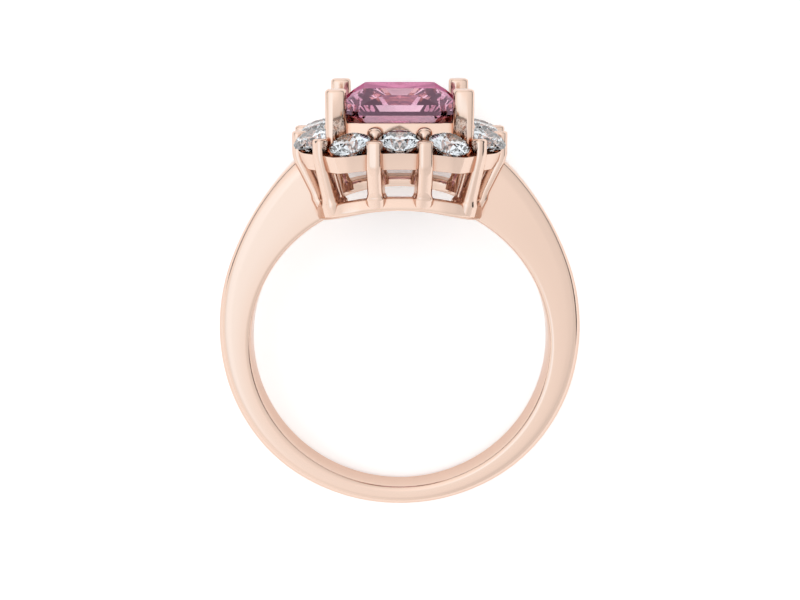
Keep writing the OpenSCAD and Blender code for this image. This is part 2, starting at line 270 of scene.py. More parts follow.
shank_rings = []
for turn in np.linspace(-SHANK_END, SHANK_END, SHANK_RINGS):
    outline = shank_outline(abs(turn) / SHANK_END)
    shank_rings.append(
        [(out * math.sin(turn), across, -out * math.cos(turn)) for across, out in outline]
    )
shank = sweep("shank", shank_rings)
face_outwards(shank)
finish_metal(shank)

# The base rail
# A square gold wire with softened edges, bent into a rounded square that arches over the
# finger. The shank and every prong are soldered to it, and its underside is filed flush
# with the finger hole.
RAIL_D = 0.8

# Half its width, the turn at its corners, its height over the middle of the finger, and how
# far it falls to both sides, on a curve of this power.
RAIL_HALF = 4.105
RAIL_TURN = 2.0
RAIL_TOP_Z = 8.79
RAIL_FALL = 0.74
RAIL_CURVE = 2.5

# Rounding of the wire's edges, as a share of its thickness.
RAIL_SOFT = 0.3

# Points along the rail, at each of its corners and at each edge of the wire, and sides of
# the round file that follows the finger hole.
RAIL_POINTS = 240
CORNER_POINTS = 20
EDGE_POINTS = 8
FILE_SIDES = 360


def new_tree(name, sizes, takes_mesh=False):
    """A node tree with one named input for each size."""
    tree = bpy.data.node_groups.new(name, "GeometryNodeTree")
    if takes_mesh:
        tree.interface.new_socket("Geometry", in_out="INPUT", socket_type="NodeSocketGeometry")
    for size in sizes:
        kind = "NodeSocketInt" if isinstance(sizes[size], int) else "NodeSocketFloat"
        tree.interface.new_socket(size, in_out="INPUT", socket_type=kind)
    tree.interface.new_socket("Geometry", in_out="OUTPUT", socket_type="NodeSocketGeometry")
    return tree


def end_tree(tree, result):
    """Ends a tree in real geometry with the gold on it."""
    real = add(tree, "GeometryNodeRealizeInstances", {"Geometry": result})
    coated = add(tree, "GeometryNodeSetMaterial", {"Geometry": real}, Material=gold)
    add(tree, "NodeGroupOutput", {"Geometry": coated})


def grow(name, tree, sizes, pattern=None):
    """Runs a node tree on a pattern, or on nothing, and keeps its result as a plain mesh."""
    host = pattern
    if not host:
        host = bpy.data.objects.new(name + "_host", bpy.data.meshes.new(name + "_host"))
        bpy.context.scene.collection.objects.link(host)
    modifier = host.modifiers.new("grow", "NODES")
    modifier.node_group = tree
    for socket in tree.interface.items_tree:
        if socket.in_out == "INPUT" and socket.name in sizes:
            modifier[socket.identifier] = sizes[socket.name]
    graph = bpy.context.evaluated_depsgraph_get()
    mesh = bpy.data.meshes.new_from_object(host.evaluated_get(graph))
    host.modifiers.remove(modifier)
    bpy.data.objects.remove(host)
    piece = bpy.data.objects.new(name, mesh)
    mesh.name = name
    bpy.context.scene.collection.objects.link(piece)
    return piece


def rail_drop(tree, given, across):
    """How far the base rail has fallen at a distance across from the middle."""
    off = add(tree, "ShaderNodeMath", {0: across}, operation="ABSOLUTE")
    far = add(tree, "ShaderNodeMath", {0: off, 1: given["Rail half"]}, operation="DIVIDE")
    held = add(tree, "ShaderNodeMath", {0: far, 1: 1.0}, operation="MINIMUM")
    bend = add(tree, "ShaderNodeMath", {0: held, 1: RAIL_CURVE}, operation="POWER")
    return add(tree, "ShaderNodeMath", {0: bend, 1: given["Rail fall"]}, operation="MULTIPLY")


def wire_tree(sizes):
    """A square wire along a rounded square that falls away to both sides of the finger."""
    tree = new_tree("bent_wire", sizes)
    given = add(tree, "NodeGroupInput").outputs
    side = add(tree, "ShaderNodeMath", {0: given["Rail half"], 1: 2.0}, operation="MULTIPLY")
    square = add(
        tree, "GeometryNodeCurvePrimitiveQuadrilateral", {"Width": side, "Height": side}
    )
    rounded = add(
        tree,
        "GeometryNodeFilletCurve",
        {"Curve": square, "Radius": given["Turn"]},
        mode="POLY",
        Count=CORNER_POINTS,
    )
    stepped = add(
        tree, "GeometryNodeResampleCurve", {"Curve": rounded}, mode="COUNT", Count=RAIL_POINTS
    )
    place = add(tree, "ShaderNodeSeparateXYZ", {0: add(tree, "GeometryNodeInputPosition")})
    fall = rail_drop(tree, given, place.outputs["X"])
    height = add(
        tree, "ShaderNodeMath", {0: given["Rail height"], 1: fall}, operation="SUBTRACT"
    )
    lift = add(tree, "ShaderNodeCombineXYZ", {"Z": height})
    arched = add(tree, "GeometryNodeSetPosition", {"Geometry": stepped, "Offset": lift})
    drawn = add(
        tree,
        "GeometryNodeCurvePrimitiveQuadrilateral",
        {"Width": given["Wire"], "Height": given["Wire"]},
    )
    edge = add(tree, "ShaderNodeMath", {0: given["Wire"], 1: RAIL_SOFT}, operation="MULTIPLY")
    section = add(
        tree,
        "GeometryNodeFilletCurve",
        {"Curve": drawn, "Radius": edge},
        mode="POLY",
        Count=EDGE_POINTS,
    )
    wire = add(tree, "GeometryNodeCurveToMesh", {"Curve": arched, "Profile Curve": section})
    reach = add(tree, "ShaderNodeMath", {0: side, 1: 2.0}, operation="MULTIPLY")
    finger = add(
        tree,
        "GeometryNodeMeshCylinder",
        {"Radius": given["Finger radius"], "Depth": reach},
        Vertices=FILE_SIDES,
    )
    through = add(
        tree, "GeometryNodeTransform", {"Geometry": finger}, Rotation=(math.pi / 2, 0, 0)
    )
    filed_flush = add(
        tree,
        "GeometryNodeMeshBoolean",
        {"Mesh 1": wire, "Mesh 2": through},
        operation="DIFFERENCE",
        solver="MANIFOLD",
    )
    end_tree(tree, filed_flush)
    return tree


rail_sizes = {
    "Rail half": RAIL_HALF,
    "Turn": RAIL_TURN,
    "Wire": RAIL_D,
    "Rail height": RAIL_TOP_Z,
    "Rail fall": RAIL_FALL,
    "Finger radius": FINGER_R,
}
base_rail = grow("base_rail", wire_tree(rail_sizes), rail_sizes)
face_outwards(base_rail)
finish_metal(base_rail)

# The outer prongs
# Two posts, filed nearly square, stand on the base rail at each side of the square. They
# lean out to the halo, turn upright at the collar and end in bevelled tips that hold the
# middle stones.
STONE_W = 6.4
HALO_D = 2.25
HALO_GAP = 0.33
CORNER_GAP = 0.25
HALO_RISE = 3.78
HALO_R = HALO_D / 2
REACH = STONE_W / 2 + HALO_GAP + HALO_R
PITCH = (REACH - CORNER_GAP / math.sqrt(2)) / (1 + 1 / math.sqrt(2))
HALO_Z = FINGER_R + HALO_RISE

PRONG_D = 0.84
PRONG_FOOT_D = 0.86
PRONG_OUT = 0.81
PRONG_TIP = 0.07
PRONG_BEND = 2.1
PRONG_TIP_Z = HALO_Z + PRONG_TIP
PRONG_BEND_Z = RAIL_TOP_Z + PRONG_BEND
BEND_ROUND = 0.3
TIP_BEVEL = 0.14

# The feet stand a little closer together than the tips, and sink into the solder.
FOOT_SPREAD = 0.94
SOLDER_DEEP = 0.1

# How much deeper a post is on its inner side below its bend, and the height that takes.
PRONG_DEEP = 0.4
DEEPEN_H = 0.3

# The fillet of solder round the foot: how much wider, as a share, and over what height.
FLARE = 0.25
FLARE_H = 0.35

# The power that files a round section towards a square one.
PRONG_SQUARE = 2 / 2.8

# Points round a post, levels up its leaning and its upright part, and degrees between two
# levels of its bevel.
POST_SIDES = 40
LEANING_LEVELS = 36
UPRIGHT_LEVELS = 8
BEVEL_STEP = 22.5


def filed_round(angle, power):
    """A point of a unit circle that is filed towards a square by a power under 1."""
    c, s = math.cos(angle), math.sin(angle)
    return math.copysign(abs(c) ** power, c), math.copysign(abs(s) ** power, s)


def post(name, foot, bend, tip_z, foot_w, tip_w):
    """A post from the base rail out to its bend and straight up to a bevelled tip."""
    far = math.hypot(bend[0], bend[1])
    out_x, out_y = bend[0] / far, bend[1] / far
    flare_z = foot[2] + RAIL_D / 2
    upright_z = bend[2] + BEND_ROUND
    heights = list(np.linspace(foot[2] - SOLDER_DEEP, upright_z, LEANING_LEVELS))
    heights += list(np.linspace(upright_z, tip_z - TIP_BEVEL, UPRIGHT_LEVELS))[1:]
    levels = [(z, 0) for z in heights]
    for a in np.radians(np.arange(BEVEL_STEP, 91, BEVEL_STEP)):
        levels.append((tip_z - TIP_BEVEL * (1 - math.sin(a)), TIP_BEVEL * (1 - math.cos(a))))
    rings = []
    for z, taper in levels:
        below = bend[2] - z
        if abs(below) < BEND_ROUND:
            below = (below + BEND_ROUND) ** 2 / (4 * BEND_ROUND)
        below = max(below, 0)
        t = 1 - below / (bend[2] - foot[2])
        flare = 1 + FLARE * max(0, 1 - max(z - flare_z, 0) / FLARE_H) ** 2
        radius = blend(foot_w, tip_w, t) / 2 * flare - taper
        deeper = PRONG_DEEP * min(1, below / DEEPEN_H)
        x, y = blend(foot[0], bend[0], t), blend(foot[1], bend[1], t)
        ring = []
        for a in np.linspace(0, 2 * math.pi, POST_SIDES, endpoint=False):
            out, side = filed_round(a, PRONG_SQUARE)
            out = out * radius + min(out, 0) * deeper
            side = side * radius
            ring.append((x + out * out_x - side * out_y, y + out * out_y + side * out_x, z))
        rings.append(ring)
    return sweep(name, rings)


def four_sides_tree(name, sizes, both_hands):
    """Copies a post to the four sides of the square, and sets each foot on the base rail."""
    tree = new_tree(name, sizes, takes_mesh=True)
    given = add(tree, "NodeGroupInput").outputs
    hands = given["Geometry"]
    if both_hands:
        mirrored = add(tree, "GeometryNodeTransform", {"Geometry": hands}, Scale=(-1, 1, 1))
        flipped = add(tree, "GeometryNodeFlipFaces", {"Mesh": mirrored})
        pair = add(tree, "GeometryNodeJoinGeometry")
        tree.links.new(hands, pair.inputs[0])
        tree.links.new(flipped.outputs[0], pair.inputs[0])
        hands = pair
    middle = add(tree, "GeometryNodePoints", {"Count": given["Sides"]})
    number = add(tree, "GeometryNodeInputIndex")
    turn = add(tree, "ShaderNodeMath", {0: number, 1: math.pi / 2}, operation="MULTIPLY")
    quarter = add(tree, "ShaderNodeCombineXYZ", {"Z": turn})
    copies = add(
        tree,
        "GeometryNodeInstanceOnPoints",
        {"Points": middle, "Instance": hands, "Rotation": quarter},
    )
    posts = add(tree, "GeometryNodeRealizeInstances", {"Geometry": copies})
    place = add(tree, "ShaderNodeSeparateXYZ", {0: add(tree, "GeometryNodeInputPosition")})
    share = add(
        tree,
        "ShaderNodeMapRange",
        {0: place.outputs["Z"], 1: given["Bend height"], 2: given["Rail height"]},
    )
    fall = rail_drop(tree, given, place.outputs["X"])
    drop = add(tree, "ShaderNodeMath", {0: fall, 1: share}, operation="MULTIPLY")
    down = add(tree, "ShaderNodeMath", {0: drop, 1: -1.0}, operation="MULTIPLY")
    shift = add(tree, "ShaderNodeCombineXYZ", {"Z": down})
    end_tree(tree, add(tree, "GeometryNodeSetPosition", {"Geometry": posts, "Offset": shift}))
    return tree


prong_sizes = {
    "Sides": 4,
    "Rail half": RAIL_HALF,
    "Rail fall": RAIL_FALL,
    "Rail height": RAIL_TOP_Z,
    "Bend height": PRONG_BEND_Z,
}
one_prong = post(
    "one_outer_prong",
    (PITCH / 2 * FOOT_SPREAD, -RAIL_HALF, RAIL_TOP_Z),
    (PITCH / 2, -(REACH + PRONG_OUT), PRONG_BEND_Z),
    PRONG_TIP_Z,
    PRONG_FOOT_D,
    PRONG_D,
)
face_outwards(one_prong)
two_on_each_side = four_sides_tree("two_on_each_side", prong_sizes, True)
outer_prongs = grow("outer_prongs", two_on_each_side, prong_sizes, one_prong)

# The halo collar
# The gold band that the round stones are set in. It slopes in a little downwards, its top
# leans out with the stones, and a tapered seat and a light hole are drilled under each.
STONES_A_SIDE = 3
HALO_STONES = 4 * STONES_A_SIDE
HALO_CORNER = REACH - PITCH

# The outer stones of a side lie lower than its middle stone, all lean outwards, and the
# outer ones roll towards the corners as well.
HALO_DROP = 0.17
HALO_TILT = math.radians(18)
HALO_ROLL = math.radians(14)

# From this many pitches off the middle of a side, the halo's line falls no further.
LEVEL_FROM = 1.25

# How far below the stones' girdles the collar's top and its underside lie, how far inside
# the stones' edges its inner wall lies, and how far its outer side comes in downwards and
# at the corners of the square.
COLLAR_LIP = 0.32
COLLAR_DROP = 1.48
COLLAR_INNER = 0.08
COLLAR_TAPER = 0.28
COLLAR_DRAW = 0.5
COLLAR_EDGE = HALO_R - COLLAR_LIP

# Rounding of an edge of the sheet, the share of it that the rounding's middle lies in from
# the corner, and how far the outer side leans out over each millimetre of height.
SHEET_SOFT = 0.05
ROUND_MID = 0.3
COLLAR_LEAN = 0.2

# Points on the collar's straights and round its corners.
COLLAR_STRAIGHT = 30
COLLAR_CORNER = 24

# The room between a stone and its seat, and the light hole drilled below it.
SEAT_GAP = 0.04
LIGHT_HOLE_R = 0.35
SEAT_SIDES = 48

# The round stone that the seat fits: its table, crown and girdle as shares of its radius,
# and how steeply its pavilion falls.
TABLE_SHARE = 0.56
CROWN_SHARE = 0.28
GIRDLE_SHARE = 0.07
PAVILION_SLOPE = 0.85


def halo_line_z(along):
    """Height of the halo at a distance along from the middle of a side."""
    return HALO_Z - HALO_DROP * min(abs(along) / PITCH, LEVEL_FROM) ** 2


def loop_points(half, turn, straight, steps):
    """Points round a rounded square with the heading at each."""
    side = [(blend(turn - half, half - turn, k / straight), -half, 0) for k in range(straight)]
    for k in range(steps):
        a = math.pi / 2 * k / steps
        side.append((half - turn + turn * math.sin(a), turn - half - turn * math.cos(a), a))
    points = []
    for quarter in range(4):
        c, s = math.cos(math.pi / 2 * quarter), math.sin(math.pi / 2 * quarter)
        points += [(x * c - y * s, x * s + y * c, a + math.pi / 2 * quarter) for x, y, a in side]
    return points


def collar_rings():
    """Cross sections of the collar, one at each point round the halo."""
    inner = HALO_R - COLLAR_INNER
    top_out = -COLLAR_EDGE * math.tan(HALO_TILT) - COLLAR_LIP
    top_in = inner * math.tan(HALO_TILT) - COLLAR_LIP
    rings = []
    for x, y, heading in loop_points(REACH, HALO_CORNER, COLLAR_STRAIGHT, COLLAR_CORNER):
        z = halo_line_z(min(abs(x), abs(y)))
        edge = COLLAR_EDGE - COLLAR_DRAW * math.sin(2 * heading) ** 2
        low = edge - COLLAR_TAPER
        section = [
            (edge, top_out),
            (low + SHEET_SOFT * COLLAR_LEAN, SHEET_SOFT - COLLAR_DROP),
            (low - SHEET_SOFT * ROUND_MID, SHEET_SOFT * ROUND_MID - COLLAR_DROP),
            (low - SHEET_SOFT, -COLLAR_DROP),
            (SHEET_SOFT - inner, -COLLAR_DROP),
            (SHEET_SOFT * ROUND_MID - inner, SHEET_SOFT * ROUND_MID - COLLAR_DROP),
            (-inner, SHEET_SOFT - COLLAR_DROP),
            (-inner, top_in),
        ]
        out_x, out_y = math.sin(heading), -math.cos(heading)
        rings.append([(x + out * out_x, y + out * out_y, z + up) for out, up in section])
    return rings


def lathed(name, profile, sides, power=1):
    """A closed mesh round an axis from radii and heights, then filed squarer by a power."""
    around = np.linspace(0, 2 * math.pi, sides, endpoint=False)
    ring = [filed_round(a, power) for a in around]
    piece = sweep(name, [[(r * x, r * y, z) for x, y in ring] for r, z in profile])
    face_outwards(piece)
    return piece


def seat_profile():
    """Half section of a stone's seat with its light hole below and open room above."""
    r = HALO_R + SEAT_GAP
    under = -HALO_R * GIRDLE_SHARE - SEAT_GAP
    table_r = HALO_R * TABLE_SHARE + SEAT_GAP
    return [
        (LIGHT_HOLE_R, -COLLAR_DROP - HALO_R),
        (LIGHT_HOLE_R, under - (r - LIGHT_HOLE_R) * PAVILION_SLOPE),
        (r, under),
        (r, SEAT_GAP),
        (table_r, HALO_R * CROWN_SHARE + SEAT_GAP),
        (table_r, HALO_R * (CROWN_SHARE + 1)),
    ]


def join(name, pieces):
    """Several meshes as one."""
    bm = bmesh.new()
    for piece in pieces:
        bm.from_mesh(piece.data)
        bpy.data.objects.remove(piece)
    mesh = bpy.data.meshes.new(name)
    bm.to_mesh(mesh)
    bm.free()
    joined = bpy.data.objects.new(name, mesh)
    bpy.context.scene.collection.objects.link(joined)
    return joined


def cut(piece, tool):
    """Cuts a tool's shape out of a piece."""
    modifier = piece.modifiers.new("cut", "BOOLEAN")
    modifier.operation = "DIFFERENCE"
    modifier.solver = "MANIFOLD"
    modifier.object = tool
    graph = bpy.context.evaluated_depsgraph_get()
    mesh = bpy.data.meshes.new_from_object(piece.evaluated_get(graph))
    piece.modifiers.remove(modifier)
    piece.data = mesh


seats = []
for number in range(HALO_STONES):
    side, step = number // STONES_A_SIDE, number % STONES_A_SIDE - 1
    seat = lathed("seat", seat_profile(), SEAT_SIDES)
    seat.data.transform(
        Matrix.Rotation(math.pi / 2 * side, 4, "Z")
        @ Matrix.Translation((step * PITCH, -REACH, halo_line_z(step * PITCH)))
        @ Matrix.Rotation(HALO_TILT, 4, "X")
        @ Matrix.Rotation(step * HALO_ROLL, 4, "Y")
    )
    seats.append(seat)
halo_seats = join("halo_seats", seats)

collar = sweep("halo_collar", collar_rings(), closed=True)
face_outwards(collar)
cut(collar, halo_seats)
finish_metal(collar)
cut(outer_prongs, halo_seats)
finish_metal(outer_prongs)

# The corner prongs
# One post of the same gold at each corner of the square holds the two stones beside it. It
# bends higher up than the outer prongs do, and below the collar it is deeper than wide.
CORNER_D = 0.75
CORNER_OUT = 0.78
CORNER_BEND = 2.6
CORNER_LOWER = 0.06
CORNER_BEND_Z = RAIL_TOP_Z + CORNER_BEND
CORNER_TIP_Z = PRONG_TIP_Z - CORNER_LOWER

corner_foot = RAIL_HALF - RAIL_TURN * (1 - 1 / math.sqrt(2))
corner_at = (PITCH + REACH) / 2 + CORNER_OUT / math.sqrt(2)
one_corner = post(
    "one_corner_prong",
    (corner_foot, -corner_foot, RAIL_TOP_Z),
    (corner_at, -corner_at, CORNER_BEND_Z),
    CORNER_TIP_Z,
    PRONG_FOOT_D,
    CORNER_D,
)
face_outwards(one_corner)
corner_sizes = dict(prong_sizes)
corner_sizes["Bend height"] = CORNER_BEND_Z
one_at_each_corner = four_sides_tree("one_at_each_corner", corner_sizes, False)
corner_prongs = grow("corner_prongs", one_at_each_corner, corner_sizes, one_corner)
cut(corner_prongs, halo_seats)
finish_metal(corner_prongs)

# The inner beads
# Short gold posts with domed tops between the round stones, on the collar's inner side. A
# beading tool shapes the domes, which hold the stones from the inside.
BEAD_D = 0.84
BEAD_DOME = 0.3

# How far in from the stones' inner edges a bead stands, and how far it rises over them.
BEAD_IN = 0.18
BEAD_TIP = 0.57
BEAD_SIDES = 48
BEAD_STEP = 7.5

bead_foot = HALO_Z - COLLAR_DROP / 2
bead_shoulder = HALO_Z + BEAD_TIP - BEAD_DOME
bead_dome = [
    (BEAD_D / 2 * math.cos(a), bead_shoulder + BEAD_DOME * math.sin(a))
    for a in np.radians(np.arange(0, 90, BEAD_STEP))
]
one_bead = lathed("one_inner_bead", [(BEAD_D / 2, bead_foot)] + bead_dome, BEAD_SIDES)
one_bead.data.transform(Matrix.Translation((PITCH / 2, HALO_R - REACH - BEAD_IN, 0)))

# Beads and claws stand on the collar, so they don't follow the base rail down.
level_sizes = dict(prong_sizes)
level_sizes["Rail fall"] = 0.0
two_beads_on_each_side = four_sides_tree("two_beads_on_each_side", level_sizes, True)
inner_beads = grow("inner_beads", two_beads_on_each_side, level_sizes, one_bead)
cut(inner_beads, halo_seats)
finish_metal(inner_beads)

# The basket rail
# A square wall of gold sheet under the centre stone. The stone's underside rests in its
# top edge, and the four claws are soldered to its corners.
STONE_RISE = 4.9
GIRDLE_Z = FINGER_R + STONE_RISE

# How far below the stone's girdle the wall's top lies, its height and its thickness, and
# the turn at its corners.
BASKET_DROP = 0.4
BASKET_H = 1.0
BASKET_WALL = 0.65
BASKET_TURN = 0.3

# Points on the basket's straights and round its corners.
BASKET_STRAIGHT = 2
BASKET_CORNER = 8

stone_mesh = frame["nodes"]["centre_stone"].data.copy()
stone_seat = bpy.data.objects.new("stone_seat", stone_mesh)
bpy.context.scene.collection.objects.link(stone_seat)
stone_mesh.transform(LYING.inverted())
grown = 1 + SEAT_GAP / (STONE_W / 2)
about = Matrix.Translation((0, 0, GIRDLE_Z))
stone_mesh.transform(about @ Matrix.Scale(grown, 4) @ about.inverted())
face_outwards(stone_seat)

basket_top = GIRDLE_Z - BASKET_DROP
basket_out = STONE_W / 2 - SEAT_GAP
basket_section = [
    (0, -BASKET_H),
    (BASKET_WALL, -BASKET_H),
    (BASKET_WALL, 0),
    (SHEET_SOFT, 0),
    (SHEET_SOFT * ROUND_MID, -SHEET_SOFT * ROUND_MID),
    (0, -SHEET_SOFT),
]
basket_rings = []
for x, y, heading in loop_points(basket_out, BASKET_TURN, BASKET_STRAIGHT, BASKET_CORNER):
    in_x, in_y = -math.sin(heading), math.cos(heading)
    basket_rings.append(
        [(x + inset * in_x, y + inset * in_y, basket_top + up) for inset, up in basket_section]
    )
basket_rail = sweep("basket_rail", basket_rings, closed=True)
face_outwards(basket_rail)
cut(basket_rail, stone_seat)
finish_metal(basket_rail)

# The claws
# Four stout gold posts, filed nearly square, hold the centre stone by its cut corners. They
# rise from the collar, and each is notched for the stone's edge and filed flat with a soft
# rim on top.
CLAW_D = 1.13

# How far outside the stone's sides a claw's middle stands, and how far it rises above the
# girdle.
CLAW_SET = 0.18
CLAW_H = 1.42
CLAW_RIM = 0.17
CLAW_AT = STONE_W / 2 + CLAW_SET
CLAW_TOP_Z = GIRDLE_Z + CLAW_H
CLAW_SQUARE = 2 / 3.2
CLAW_SIDES = 64
CLAW_RIM_STEP = 15

# How high above the collar's underside a claw starts, inside the sheet.
CLAW_FOOT = 0.1

claw_foot_z = HALO_Z - COLLAR_DROP + CLAW_FOOT
claw_profile = [(CLAW_D / 2, claw_foot_z)]
for a in np.radians(np.arange(0, 91, CLAW_RIM_STEP)):
    rim_in, rim_down = CLAW_RIM * (1 - math.cos(a)), CLAW_RIM * (1 - math.sin(a))
    claw_profile.append((CLAW_D / 2 - rim_in, CLAW_TOP_Z - rim_down))
one_claw = lathed("one_claw", claw_profile, CLAW_SIDES, CLAW_SQUARE)
one_claw.data.transform(Matrix.Translation((CLAW_AT, -CLAW_AT, 0)))
one_claw_at_each_corner = four_sides_tree("one_claw_at_each_corner", level_sizes, False)
claws = grow("claws", one_claw_at_each_corner, level_sizes, one_claw)
cut(claws, stone_seat)
cut(claws, halo_seats)
finish_metal(claws)
for tool in (stone_seat, halo_seats):
    bpy.data.objects.remove(tool)

# The centre stone
# A pink sapphire of about 2.5 carats in a square radiant cut with a polished girdle. Its
# colour is in the body of the stone, so it deepens wherever the light takes a long way.
STONE_CORNER = 1.0
TABLE_W = 3.9
STONE_CROWN_H = 1.12
STONE_GIRDLE_T = 0.22
STONE_PAVILION_H = 2.6

# The table's cut corners, and the step above the girdle: its half width and its cut corners
# as shares of the girdle's, and its height as a share of the crown's.
TABLE_CORNER = 0.15
STEP_OUT = 0.953
STEP_CORNER = 0.98
STEP_UP = 0.29

# Corner points of the crown's facets: how far out and how far along each lies, as shares
# of the half width, and how far up, as a share of the crown's height.
CROWN_POINTS = [(0.8, 0.3, 0.72), (0.8, -0.3, 0.72), (0.7, 0.7, 0.7)]

# Rows of points round the pavilion: how far out each lies, as a share of the half width,
# the points in a row, the powers that square the rows in turn, and how full the cone is.
PAVILION_ROWS = [0.86, 0.66, 0.46, 0.28, 0.13]
PAVILION_AROUND = 20
PAVILION_SQUARE = (2.4, 3.4)
PAVILION_BULGE = 1.25


def quarter_turns(x, y, z):
    """One point at the same place on each of the four sides."""
    return [(x, y, z), (-y, x, z), (-x, -y, z), (y, -x, z)]


def cut_corners(half, corner, z):
    """The eight corners of a square with cut corners."""
    return quarter_turns(half - corner, -half, z) + quarter_turns(half, corner - half, z)


half_stone = STONE_W / 2
table_z = STONE_GIRDLE_T + STONE_CROWN_H
step_z = STONE_GIRDLE_T + STONE_CROWN_H * STEP_UP
facet_points = cut_corners(TABLE_W / 2, STONE_CORNER * TABLE_CORNER, table_z)
facet_points += cut_corners(half_stone * STEP_OUT, STONE_CORNER * STEP_CORNER, step_z)
facet_points += cut_corners(half_stone, STONE_CORNER, STONE_GIRDLE_T)
facet_points += cut_corners(half_stone, STONE_CORNER, 0)
for out, along, up in CROWN_POINTS:
    crown_z = STONE_GIRDLE_T + STONE_CROWN_H * up
    facet_points += quarter_turns(half_stone * out, half_stone * along, crown_z)
for row, out in enumerate(PAVILION_ROWS):
    square = PAVILION_SQUARE[row % 2]
    for k in range(PAVILION_AROUND):
        a = math.pi * 2 * (k + row % 2 / 2) / PAVILION_AROUND
        x, y = math.cos(a), math.sin(a)
        far = half_stone * out / (abs(x) ** square + abs(y) ** square) ** (1 / square)
        facet_points.append((x * far, y * far, STONE_PAVILION_H * (out**PAVILION_BULGE - 1)))
facet_points.append((0, 0, -STONE_PAVILION_H))


# Triangles that meet at a smaller angle than this are one facet.
ONE_FACET = math.radians(0.2)


def cut_stone(name, points):
    """A stone with flat facets: the smallest closed shape round its corner points."""
    bm = bmesh.new()
    for point in points:
        bm.verts.new(point)
    made = bmesh.ops.convex_hull(bm, input=bm.verts)
    bmesh.ops.delete(bm, geom=made["geom_interior"], context="VERTS")
    bmesh.ops.dissolve_limit(bm, angle_limit=ONE_FACET, verts=bm.verts, edges=bm.edges)
    bmesh.ops.recalc_face_normals(bm, faces=bm.faces)
    mesh = bpy.data.meshes.new(name)
    bm.to_mesh(mesh)
    bm.free()
    piece = bpy.data.objects.new(name, mesh)
    bpy.context.scene.collection.objects.link(piece)
    return piece


# Facets lapped and polished with fine grit: each is a sharp mirror inside and out, and the
# whole stone sparkles. A sapphire's own index is 1.77. Here it has a diamond's too, because
# with its own it lets the white table through as a grey veil.
GEM_IOR = 2.417


def gem(name, tint, faint, cloud_mm, sheen, film, body_colour=None, body_mm=None):
    """A polished stone: mirror facets, clouds of tiny inclusions, and colour in its body.

    The clouds are drawn far coarser than they are, so that they show. The coat adds no
    gloss: it is the film that tints a facet where it is seen at a very flat angle.
    """
    material = bpy.data.materials.new(name)
    material.use_nodes = True
    tree = material.node_tree
    tree.nodes.clear()
    place = add(tree, "ShaderNodeTexCoord").outputs["Object"]
    clouds = add(tree, "ShaderNodeTexNoise", {"Vector": place}, Scale=1000 / cloud_mm, Detail=4.0)
    body = add(tree, "ShaderNodeValToRGB", {"Fac": clouds})
    cloudy, clear = body.color_ramp.elements
    cloudy.position = 0.35
    cloudy.color = linear(faint)
    clear.position = 0.65
    clear.color = linear(tint)
    surface = add(
        tree,
        "ShaderNodeBsdfPrincipled",
        {"Base Color": body},
        Roughness=0.0,
        IOR=GEM_IOR,
        Specular_Tint=linear(sheen),
        Transmission_Weight=1.0,
        Coat_Weight=1.0,
        Coat_Roughness=0.0,
        Coat_IOR=1.0,
        Coat_Tint=linear(film),
    )
    ends = {"Surface": surface}
    if body_colour:
        ends["Volume"] = add(
            tree,
            "ShaderNodeVolumeAbsorption",
            Color=linear(body_colour),
            Density=1000 / body_mm,
        )
    add(tree, "ShaderNodeOutputMaterial", ends)
    return material


sapphire = gem(
    "cut_pink_sapphire",
    tint="#FFFFFF",
    faint="#FBEFF6",
    cloud_mm=1.6,
    sheen="#DFB2C9",
    film="#FBF3F7",
    body_colour="#CF4B8F",
    body_mm=20.0,
)
stone = cut_stone("pink_stone", facet_points)
stone.data.transform(LYING @ Matrix.Translation((0, 0, GIRDLE_Z)))
stone.data.materials.append(sapphire)
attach(stone, "root")
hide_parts("centre_stone")

# The halo stones
# Twelve round brilliant diamonds of about a twentieth of a carat, near colourless. Each is
# pressed into its seat, and the prong tips and beads beside it are pushed over its edge.
diamond = gem(
    "cut_diamond",
    tint="#F4F9FF",
    faint="#E6EEF4",
    cloud_mm=0.8,
    sheen="#FFFFFF",
    film="#FFFFFF",
)
for number in range(1, HALO_STONES + 1):
    for held in frame["nodes"][f"halo_stone_{number:02d}"].material_slots:
        held.material = diamond

# The table
# The ring lies on a large sheet of matt white card, which is plain and has no gloss. Its
# paper grain only just shows. The card also glows a little, a painted light that keeps it
# white where the ring shades it.
CARD_HALF_M = 0.6
GRAIN_MM = 10 / 9

card_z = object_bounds()[0].z
table = bpy.data.objects.new("table", bpy.data.meshes.new("table"))
card_corners = [
    (x * CARD_HALF_M, y * CARD_HALF_M, card_z)
    for x, y in ((-1, -1), (1, -1), (1, 1), (-1, 1))
]
table.data.from_pydata(card_corners, [], [(0, 1, 2, 3)])
bpy.context.scene.collection.objects.link(table)

white_card = bpy.data.materials.new("white_card")
white_card.use_nodes = True
card_tree = white_card.node_tree
card_tree.nodes.clear()
grain = add(
    card_tree,
    "ShaderNodeTexNoise",
    {"Vector": add(card_tree, "ShaderNodeTexCoord").outputs["Object"]},
    Scale=1000 / GRAIN_MM,
)
tone = add(card_tree, "ShaderNodeValToRGB", {"Fac": grain})
tone.color_ramp.elements[0].color = linear("#FAFAFA")
tone.color_ramp.elements[1].color = linear("#FFFFFF")
card_surface = add(
    card_tree,
    "ShaderNodeBsdfPrincipled",
    {"Base Color": tone},
    Roughness=0.9,
    # Painted light: the card glows a little so that the ring's shade on it stays white.
    Emission_Color=linear("#FFFFFF"),
    Emission_Strength=0.2,
)
add(card_tree, "ShaderNodeOutputMaterial", {"Surface": card_surface})
table.data.materials.append(white_card)

# The light
# A white studio dome all round, brightest overhead and a little brighter on the left. Two
# low dark cards beside the head give the gold and the facets an edge to mirror, and a patch
# of cooler daylight falls in high on the left.

